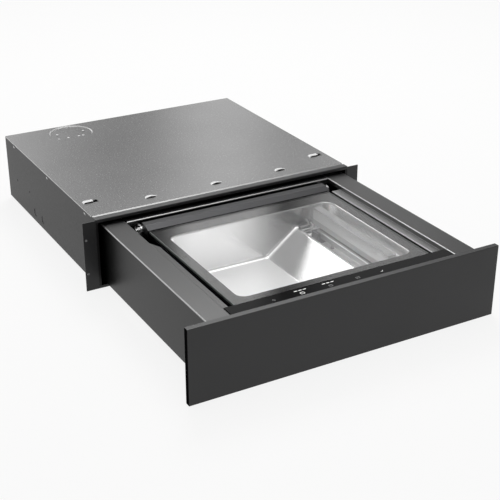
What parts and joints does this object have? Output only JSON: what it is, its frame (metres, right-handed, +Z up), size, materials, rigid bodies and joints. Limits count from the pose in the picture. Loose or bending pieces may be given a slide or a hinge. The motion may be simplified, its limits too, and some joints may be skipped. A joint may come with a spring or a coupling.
{
  "type": "vacuum sealing drawer",
  "caption": "Built-in drawer with a steel vacuum chamber, a hinged glass lid, a sealing bar, a touch bar and telescopic runners.",
  "frame": {"origin": "middle of the underside of the housing", "axes": "+X to the right seen from the front, +Y to the back, +Z up; the drawer is pulled out towards -Y"},
  "size_m": [0.595, 0.9339, 0.1436],
  "materials": {
    "zinc_steel": "bare coated sheet, satin",
    "frame_paint": "dark grey powder coat, matte",
    "side_steel": "grey coated sheet, satin",
    "panel_metal": "dark anthracite, satin",
    "black_glass": "black printed glass, gloss",
    "clear_glass": "clear tempered glass with a dark printed border",
    "chamber_steel": "drawn stainless steel, fine brushed",
    "bright_steel": "bright steel",
    "runner_steel": "zinc plated steel",
    "rail_metal": "dark anodised, satin",
    "bar_metal": "anodised, satin",
    "heater_metal": "flat resistance strip under a thin coated tape",
    "seal_rubber": "soft silicone, matte",
    "light_silicone": "grey silicone, matte",
    "black_rubber": "matte",
    "dark_plastic": "matte",
    "grey_plastic": "matte",
    "circuit_board": "green solder mask",
    "motor_paint": "matte",
    "cast_metal": "cast, bead blasted",
    "core_steel": "laminated core, varnished",
    "hose_silicone": "translucent silicone, matte"
  },
  "bodies": {
    "housing": {"housing_base": "zinc_steel", "housing_side_left": "zinc_steel", "housing_side_right": "zinc_steel", "housing_back": "zinc_steel", "top_cover": "zinc_steel", "front_frame": "frame_paint", "housing_screws": "bright_steel", "lead_gland": "dark_plastic", "rear_buffers": "black_rubber", "latch_body": "grey_plastic", "runner_bracket_left": "zinc_steel", "runner_bracket_right": "zinc_steel", "runner_outer_left": "runner_steel", "runner_outer_right": "runner_steel"},
    "latch_plunger": {"latch_plunger": "grey_plastic"},
    "runner_middle_left": {"runner_middle_left": "runner_steel", "ball_cages_left": "bright_steel"},
    "runner_middle_right": {"runner_middle_right": "runner_steel", "ball_cages_right": "bright_steel"},
    "drawer": {"runner_inner_left": "runner_steel", "runner_inner_right": "runner_steel", "latch_striker": "runner_steel", "drawer_side_left": "side_steel", "drawer_side_right": "side_steel", "drawer_floor": "zinc_steel", "drawer_rear": "zinc_steel", "drawer_screws": "bright_steel", "bay_bulkhead": "frame_paint", "bay_cover": "frame_paint", "front_carrier": "zinc_steel", "front_panel": "panel_metal", "control_glass": "black_glass", "control_holder": "dark_plastic", "control_board": "circuit_board", "chamber_tub": "chamber_steel", "tub_supports": "zinc_steel", "lid_seal": "seal_rubber", "hinge_brackets": "bright_steel", "hinge_springs": "bright_steel", "bar_end_blocks": "grey_plastic", "lift_cylinders": "cast_metal", "bag_clip": "bright_steel", "pump_motor": "motor_paint", "pump_head": "cast_metal", "pump_mounts": "black_rubber", "valve_block": "grey_plastic", "vacuum_hoses": "hose_silicone", "transformer": "core_steel", "power_board": "circuit_board", "fan_frame": "dark_plastic"},
    "lid": {"lid_glass": "clear_glass", "hinge_rail": "rail_metal", "hinge_shaft": "bright_steel", "counter_holder": "bar_metal", "counter_bar": "light_silicone"},
    "sealing_bar": {"sealing_bar": "bar_metal", "heating_strip": "heater_metal", "lift_pins": "bright_steel"},
    "pump_rotor": {"pump_rotor": "bright_steel"},
    "fan_rotor": {"fan_rotor": "dark_plastic"}
  },
  "joints": [
    {"name": "drawer_slide", "type": "slide", "parent": "housing", "child": "drawer", "axis": [0, -1, 0], "range_m": [-0.408, 0]},
    {"name": "runner_left_slide", "type": "slide", "parent": "housing", "child": "runner_middle_left", "axis": [0, -1, 0], "range_m": [-0.2041, 0]},
    {"name": "runner_right_slide", "type": "slide", "parent": "housing", "child": "runner_middle_right", "axis": [0, -1, 0], "range_m": [-0.2041, 0]},
    {"name": "latch_push", "type": "slide", "parent": "housing", "child": "latch_plunger", "axis": [0, 1, 0], "range_m": [0, 0.005], "stiffness_N_per_m": 400},
    {"name": "lid_hinge", "type": "hinge", "parent": "drawer", "child": "lid", "pos_m": [0, -0.283, 0.112], "axis": [-1, 0, 0], "range_deg": [0, 78]},
    {"name": "bar_lift", "type": "slide", "parent": "drawer", "child": "sealing_bar", "axis": [0, 0, 1], "range_m": [0, 0.0058]},
    {"name": "pump_spin", "type": "hinge", "parent": "drawer", "child": "pump_rotor", "pos_m": [-0.127, -0.217, 0.064], "axis": [1, 0, 0], "continuous": true},
    {"name": "fan_spin", "type": "hinge", "parent": "drawer", "child": "fan_rotor", "pos_m": [0.169, -0.178, 0.07], "axis": [0, 1, 0], "continuous": true}
  ],
  "couplings": [
    {"joint": "runner_left_slide", "follows": "drawer_slide", "ratio": 0.5},
    {"joint": "runner_right_slide", "follows": "drawer_slide", "ratio": 0.5}
  ]
}
